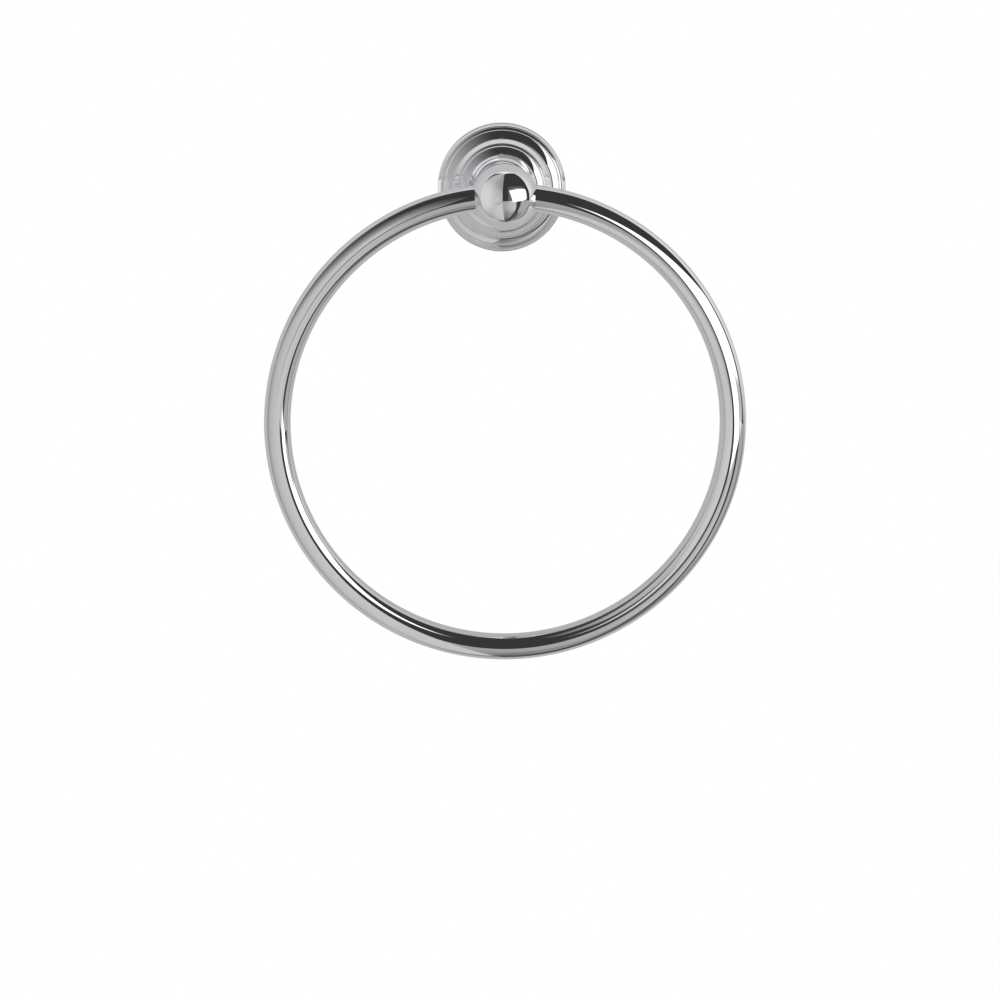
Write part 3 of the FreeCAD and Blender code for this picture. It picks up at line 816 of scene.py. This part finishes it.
def room_light(at):
    """Dark ahead of the fitting and white behind it."""
    return room_dark + (room_white - room_dark) * at.bearing.size().rise(*room_fade)


board("dark_room", room_grid, room_light)

# Wall board: upright, just behind the rose's back.
wall_y = 0.6 * MM
wall_left, wall_right = -0.720, 0.640
wall_foot, wall_head = -0.500, 0.300
wall_strength = 0.50
wall_more_above, wall_above_fade = 0.07, (-0.02, 0.05)
wall_more_right, wall_right_fade = 0.30, (0.0, 0.26)
wall_more_left, wall_left_fade = 0.05, (-0.12, -0.04)
wall_corner, wall_corner_fade, wall_corner_top = 0.7, (0.10, 0.20), (-0.17, -0.05)


def wall_light(at):
    """Brighter above and on both sides, but dark in the lower right corner."""
    light = wall_strength + wall_more_above * at.z.rise(*wall_above_fade)
    light = light + wall_more_right * at.x.rise(*wall_right_fade)
    light = light + wall_more_left * at.x.fall(*wall_left_fade)
    return light * (1.0 - wall_corner * at.x.rise(*wall_corner_fade) * at.z.fall(*wall_corner_top))


wall_grid = [[(wall_left, wall_y, height), (wall_right, wall_y, height)] for height in (wall_foot, wall_head)]
board("wall_board", wall_grid, wall_light)

# Floor: white to the camera. Its glow, which only reflections see, is painted light, with a dark wedge on the
# right.
floor_z = -1.2
floor_side, floor_front, floor_back = 7.0, -5.7, 5.0
# Strengths of the painted light in the floor's glow: its sides, its dark wedge, and its painted shade.
floor_left, floor_right, floor_aside = 0.38, 0.60, 0.44
floor_wedge, floor_wedge_close = 0.05, 0.17
floor_far, floor_close = (0.8, 3.6), (0.7, 1.3)
wedge_left, wedge_right = math.radians(45), math.radians(58)
wedge_left_far, wedge_left_close = math.radians(4), math.radians(4)
wedge_right_far, wedge_right_close = math.radians(1), math.radians(14)
wedge_left_blur, wedge_right_blur = 0.04, 0.05
floor_right_fade, floor_left_fade, floor_aside_fade = (-0.16, 0.60), (-0.35, -0.14), (0.85, 1.05)
floor_dim, floor_dim_fade, floor_dim_reach = 0.5, (-0.2, 0.1), (0.5, 1.7)
floor_foot, floor_foot_reach = 0.45, (0.2, 0.5)
floor_paint = (1.0, 1.0, 1.0, 1.0)


def floor_light(at):
    """Painted light: paler on both sides of straight ahead, a dark wedge, and painted shade near and below
    the fitting.
    """
    forward = at.y + ball_standoff
    reach = (at.x * at.x + forward * forward).root()
    far = reach.rise(*floor_far)
    close = reach.fall(*floor_close)
    # The dark wedge in the glow lies between two bearings, whose edges move apart both far off and close by.
    past_left = at.bearing - (wedge_left - wedge_left_far * far - wedge_left_close * close)
    past_right = at.bearing - (wedge_right + wedge_right_far * far + wedge_right_close * close)
    gap = past_left.rise(-wedge_left_blur, wedge_left_blur) - past_right.rise(-wedge_right_blur, wedge_right_blur)
    # Painted light: the glow is paler on both sides of straight ahead, and less pale far to the right.
    floor_glow = floor_left + (floor_right - floor_left) * at.bearing.rise(*floor_right_fade)
    floor_glow = floor_glow + (floor_right - floor_left) * at.bearing.fall(*floor_left_fade)
    floor_glow = floor_glow + (floor_aside - floor_right) * at.bearing.rise(*floor_aside_fade)
    floor_glow = floor_glow + gap * (floor_wedge + (floor_wedge_close - floor_wedge) * close - floor_glow)
    # Painted shade near the fitting on its right, and below the fitting.
    floor_glow = floor_glow * (1.0 - floor_dim * at.bearing.rise(*floor_dim_fade) * reach.fall(*floor_dim_reach))
    return floor_glow * (floor_foot + (1.0 - floor_foot) * reach.rise(*floor_foot_reach))


floor_grid = [[(-floor_side, y, floor_z), (floor_side, y, floor_z)] for y in (floor_front, floor_back)]
board("floor", floor_grid, floor_light, paint=floor_paint)

# Screen: tall, close by on the left. The ball and the rose don't see its dark top, so a lamp just in
# front of it gives each of them what it sees more than the ring.
screen_near, screen_far = (-0.024, -0.200), (-0.617, 0.018)
screen_head = 8.0
screen_light, screen_rear, screen_rear_fade = 0.64, 0.34, (0.0, 0.8)
screen_step, screen_step_back = 0.155, 0.45
screen_kept = 0.05
screen_edge, screen_edge_fade = 0.3, (-0.01, 0.08)
screen_rear_kept, screen_rear_kept_fade = 0.44, (0.35, 0.75)
screen_black = (0.0, 0.12)
# A painted dark line in the screen's glow: a painted reflection that the ring mirrors along its front.
dark_line, dark_line_foot, dark_line_drop = 0.8, 0.027, 0.32
dark_line_fade, dark_line_end = (0.006, 0.024), (-0.02, 0.2)


def ring_screen(at):
    """Darker towards the rear, the front edge and the top, with a painted dark line along its foot.

    It darkens upwards by the same share over each step of height. The step grows with the distance
    from the fitting.
    """
    back = (at.x - screen_near[0]) / (screen_far[0] - screen_near[0])
    steps = at.z / (screen_step + screen_step_back * back)
    steps = (steps + screen_edge * back.fall(*screen_edge_fade)).at_least(0.0)
    kept = steps.math("POWER", screen_kept, steps)
    kept = kept + back.rise(*screen_rear_kept_fade) * (kept.at_least(screen_rear_kept) - kept)
    # The painted dark line takes light out along z = -foot - drop * back, and less towards the rear.
    off_dark_line = (at.z + dark_line_foot + dark_line_drop * back).size()
    lost = dark_line * (off_dark_line.fall(*dark_line_fade) * back.fall(*dark_line_end))
    light = screen_light - screen_rear * back.rise(*screen_rear_fade)
    return room_dark + (light * kept * (1.0 - lost) - room_dark) * kept.rise(*screen_black)


ball_screen_light, ball_screen_front, ball_screen_fade = 0.74, 0.22, (-1.15, -0.25)
ball_screen_above, ball_screen_below, ball_screen_steep = 0.3, 0.4, (0.2, 1.2)
ball_screen_eye = 0.05
rose_screen_light, rose_screen_above, rose_screen_fade = 0.46, 0.42, (0.1, 1.5)


def ball_screen(at):
    """What the ball sees more than the ring: a slow fade to the front, upwards and downwards.

    How steep it is up to a point is its height over its distance from an eye right of the ball.
    """
    steep = at.z / (ball_screen_eye - at.x)
    light = ball_screen_light - ball_screen_front * at.bearing.rise(*ball_screen_fade)
    light = light * (1.0 - ball_screen_above * steep.rise(*ball_screen_steep))
    light = light * (1.0 - ball_screen_below * (-1.0 * steep).rise(*ball_screen_steep))
    return (light - ring_screen(at)).at_least(0.0)


def rose_screen(at):
    """What the rose sees more than the ring: the screen fades with the angle about the rose's axis."""
    roll = at.z.math("ARCTAN2", at.z, -1.0 * at.x)
    light = rose_screen_light - rose_screen_above * roll.rise(*rose_screen_fade)
    return (light - ring_screen(at)).at_least(0.0)


screen_grid = [[(*screen_near, height), (*screen_far, height)] for height in (floor_z, screen_head)]
board("screen", screen_grid, ring_screen)
screen_lamp_near, screen_lamp_far = (-0.0235, -0.199), (-0.6165, 0.019)
screen_lamp_foot, screen_lamp_head = -1.0, 7.9
screen_lamp = upright(screen_lamp_near, screen_lamp_far, screen_lamp_foot, screen_lamp_head)
lamp("ball_screen", *screen_lamp, ball_screen, [ball])
lamp("rose_screen", *screen_lamp, rose_screen, [wall_rose, neck])

# Window: on the right, with a top that slopes up to the rear. Each piece has its own view of it.
window_far = (0.62, -0.11)
ring_window_near, rose_window_near, ball_window_near = (0.055, -0.3164), (0.10, -0.30), (0.03, -0.30)
window_low, window_high = -0.3, 0.4
window_foot = (-0.063, -0.055)
ring_window_light, ring_window_end = 1.7, (0.42, 0.68)
ring_window_top, ring_window_slope, ring_window_blur = 0.065, 0.28, 0.008
ring_window_top_x = 0.12
ring_window_foot, ring_window_side, ring_window_lean = (-0.158, -0.148), (0.065, 0.095), 0.35
window_corner_light, window_corner_side, window_corner_top = 0.5, (0.275, 0.32), (-0.075, -0.045)
rose_window_light, rose_window_top, rose_window_blur = 1.2, 0.126, 0.006
rose_window_slope = 0.113 / 0.52
ball_window_light, ball_window_end = 1.3, (0.42, 0.60)
ball_window_top, ball_window_slope, ball_window_blur = 0.118, 0.153, 0.005
ball_window_top_x = 0.112
ball_window_low, ball_window_low_left = -0.058, 0.466
ball_window_high, ball_window_high_left = 0.126, 0.233
ball_window_left_blur = 0.03
ball_glow, ball_glow_reach, ball_glow_side = 0.12, 0.11, (0.12, 0.28)
ball_halo, ball_halo_reach, ball_halo_side = 0.4, 0.045, (0.08, 0.25)


def ring_window(at):
    """White up to its top, softly ended on the right, and grey in its lower right corner."""
    above = at.z - (ring_window_top + ring_window_slope * (at.x - ring_window_top_x))
    inside = above.fall(-ring_window_blur, ring_window_blur) * at.z.rise(*ring_window_foot)
    inside = inside * (at.x + ring_window_lean * at.z).rise(*ring_window_side)
    corner = at.x.rise(*window_corner_side) * at.z.fall(*window_corner_top)
    light = ring_window_light * at.x.fall(*ring_window_end)
    return inside * (light * (1.0 - corner) + window_corner_light * corner)


def rose_window(at):
    """White up to a higher top."""
    above = at.z - (rose_window_top + rose_window_slope * (at.x - rose_window_near[0]))
    return rose_window_light * above.fall(-rose_window_blur, rose_window_blur) * at.z.rise(*window_foot)


def ball_window(at):
    """White inside a slanting left edge, its top and its level foot, with a glow above and beside it."""
    above = at.z - (ball_window_top + ball_window_slope * (at.x - ball_window_top_x))
    height = (at.z - ball_window_low) / (ball_window_high - ball_window_low)
    left = ball_window_high_left + (ball_window_low_left - ball_window_high_left) * (1.0 - height)
    inside = (at.bearing - left).rise(-ball_window_left_blur, ball_window_left_blur)
    inside = inside * above.fall(-ball_window_blur, ball_window_blur)
    glow = ball_glow * above.fall(0.0, ball_glow_reach)
    glow = glow + ball_halo * at.x.rise(*ball_halo_side) * above.fall(0.0, ball_halo_reach)
    light = ball_window_light * inside + glow * at.bearing.rise(*ball_glow_side)
    return light * at.z.rise(*window_foot) * at.x.fall(*ball_window_end)


windows = [
    ("ring_window", ring_window_near, ring_window, [ring]),
    ("rose_window", rose_window_near, rose_window, [wall_rose, neck]),
    ("ball_window", ball_window_near, ball_window, [ball]),
]
for name, near, light_of, lit in windows:
    lamp(name, *upright(near, window_far, window_low, window_high), light_of, lit)

# Far board: a pale one that stands on the floor's front edge, on the left, and that the ring sees.
far_board_light, far_board_fade = 0.62, (-0.9, -0.4)
far_board_near, far_board_head = (-0.40, floor_front), 1.5
far_board = upright(far_board_near, (-floor_side, floor_front), floor_z, far_board_head)
lamp("far_board", *far_board, lambda at: far_board_light * at.x.fall(*far_board_fade), [ring])

# Front light: a narrow beam on the rose and a wide one on the neck, both from just behind the ring.
front_y = -33 * MM
front_size = (0.054, 0.056)
front_turn, front_pitch = math.radians(1.4), math.radians(94.5)
front_half_spread = math.radians(10)
front_gain = math.tan(front_half_spread) / (math.tan(front_half_spread) - front_half_spread)
front_low, front_high, front_high_fade, front_lean = 0.50, 0.24, (-0.006, 0.010), 0.3
ring_shade, ring_shade_end = 0.6, (-0.0205, -0.019)
ring_shade_foot, ring_shade_top = (-0.007, -0.004), (0.001, 0.004)
glare_shade, glare_foot, glare_top, glare_end = 0.32, (0.0020, 0.0026), (0.0046, 0.0050), (-0.002, 0.002)
ball_shade, ball_shade_fade, ball_shade_top = 0.6, (0.00017, 0.00022), (0.010, 0.014)
ball_shade_drop = 2.0 * MM
neck_light_strength, neck_light_left, neck_light_fade = 0.60, 0.35, (-0.008, -0.002)
neck_light_size, neck_light_z = (0.032, 0.037), 0.0225
neck_light_pitch = math.radians(90)


def front_light(at):
    """Brightest above, and dim where the ring and the ball stand in front of it.

    On the left a strip is dimmed further, where the rose mirrors the ring's back. It curves down with
    the ring, by x * x / (2 * ring_radius). The ball's fade is in square metres, as it is measured by
    the square of the distance from a point a little below the light's middle.
    """
    light = front_low + front_high * (at.z + front_lean * at.x).rise(*front_high_fade)
    shade = ring_shade * (at.z.rise(*ring_shade_foot) - at.z.rise(*ring_shade_top))
    above = at.z + at.x * at.x / (2 * ring_radius)
    glare = above.rise(*glare_foot) - above.rise(*glare_top)
    shade = (shade + glare_shade * glare * at.x.fall(*glare_end)) * at.x.rise(*ring_shade_end)
    below = at.z + ball_shade_drop
    behind_ball = (at.x * at.x + below * below).fall(*ball_shade_fade) * at.z.fall(*ball_shade_top)
    return light * (1.0 - shade) * (1.0 - ball_shade * behind_ball) / front_gain


def neck_light(at):
    """Dimmer on the left, where the neck sees more of the screen."""
    return neck_light_strength - neck_light_left * at.x.fall(*neck_light_fade)


front_placement = (Matrix.Translation((0, front_y, 0)) @ Matrix.Rotation(front_turn, 4, "Z")
                   @ Matrix.Rotation(front_pitch, 4, "X"))
lamp("front_light", front_size, front_placement, front_light, [wall_rose]).spread = 2 * front_half_spread
neck_placement = (Matrix.Translation((0, front_y, neck_light_z))
                  @ Matrix.Rotation(neck_light_pitch, 4, "X"))
lamp("neck_light", neck_light_size, neck_placement, neck_light, [neck])

# World: plain white. It lights the painted floor.
world_colour = (1.0, 1.0, 1.0, 1.0)
world = bpy.data.worlds.new("studio")
world.use_nodes = True
world.node_tree.nodes["Background"].inputs["Color"].default_value = world_colour
scene = bpy.context.scene
scene.world = world
scene.view_settings.view_transform = "Standard"

# Camera: a long lens, a little above the ball and to its left, where the ring's ellipse puts it.
image_pixels = 1000
focal_pixels = 2780.2
camera_place = (-0.02734, -1.0825, 0.08523)
camera_pitch, camera_yaw, camera_roll = (math.radians(angle) for angle in (10.933, 1.391, -0.219))
camera_data = bpy.data.cameras.new("camera")
camera_data.sensor_width = 36.0
camera_data.lens = focal_pixels / image_pixels * camera_data.sensor_width
camera_data.clip_start = 0.01
camera = bpy.data.objects.new("camera", camera_data)
scene.collection.objects.link(camera)
camera.matrix_world = (Matrix.Translation(camera_place) @ Matrix.Rotation(-camera_yaw, 4, "Z")
                       @ Matrix.Rotation(math.pi / 2 - camera_pitch, 4, "X")
                       @ Matrix.Rotation(camera_roll, 4, "Z"))
scene.camera = camera
